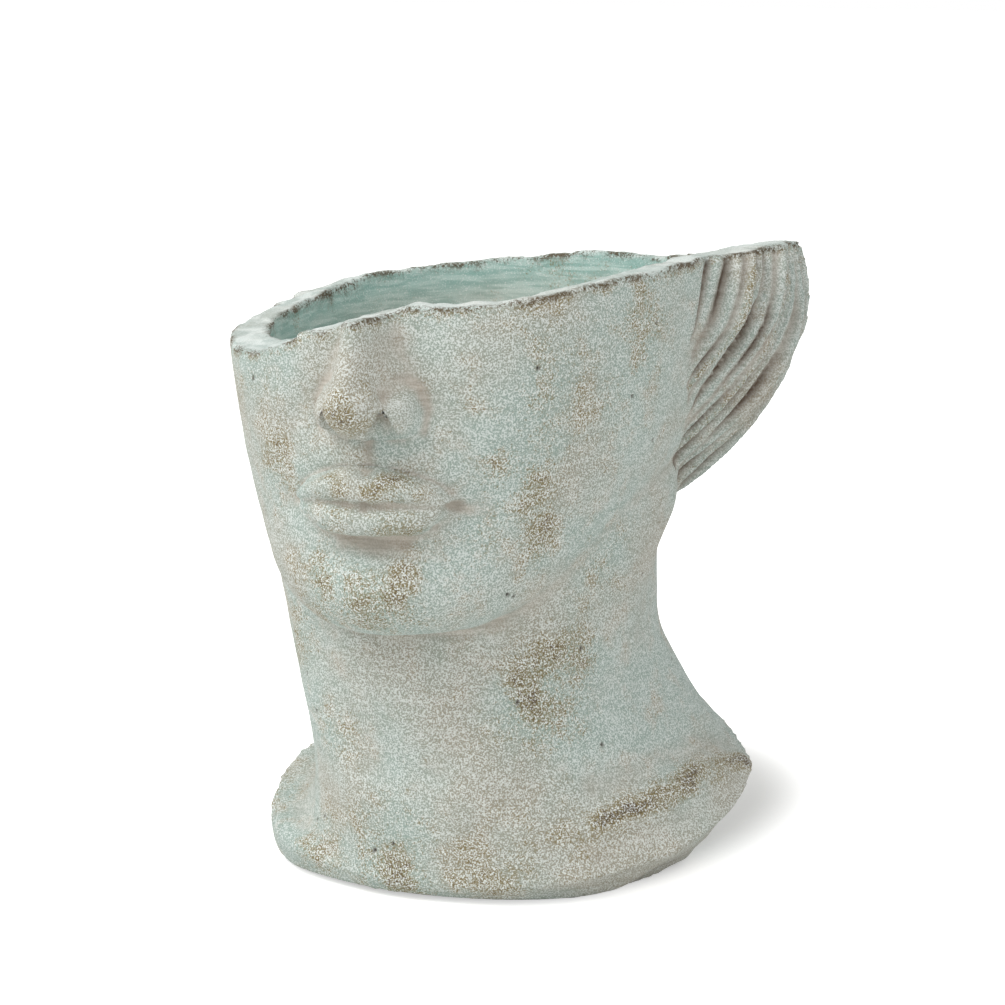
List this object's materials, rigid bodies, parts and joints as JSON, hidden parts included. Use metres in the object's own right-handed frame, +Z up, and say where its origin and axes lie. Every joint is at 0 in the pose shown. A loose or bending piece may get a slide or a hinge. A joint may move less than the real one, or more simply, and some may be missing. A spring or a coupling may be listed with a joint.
{
  "type": "head planter",
  "caption": "Hollow cast-cement head planter, broken open across the top and standing on its cut-off neck, with a rubber drain bung that lifts out.",
  "frame": {"origin": "middle of the part's plan, on the surface that the planter stands on", "axes": "+Z up, the face looks along -Y, +X to the right of someone facing it"},
  "size_m": [0.175, 0.2145, 0.1964],
  "materials": {
    "cement": "cast cement with a sponged grey-green patina, matt",
    "bung_rubber": "moulded rubber, matt",
    "pad_foam": "closed-cell foam, matt"
  },
  "bodies": {
    "planter": {"planter_shell": "cement", "foot_pad_1": "pad_foam", "foot_pad_2": "pad_foam", "foot_pad_3": "pad_foam", "foot_pad_4": "pad_foam"},
    "bung": {"drain_bung": "bung_rubber"}
  },
  "joints": [
    {"name": "bung_lift", "type": "slide", "parent": "planter", "child": "bung", "axis": [0, 0, 1], "range_m": [0, 0.2]}
  ]
}
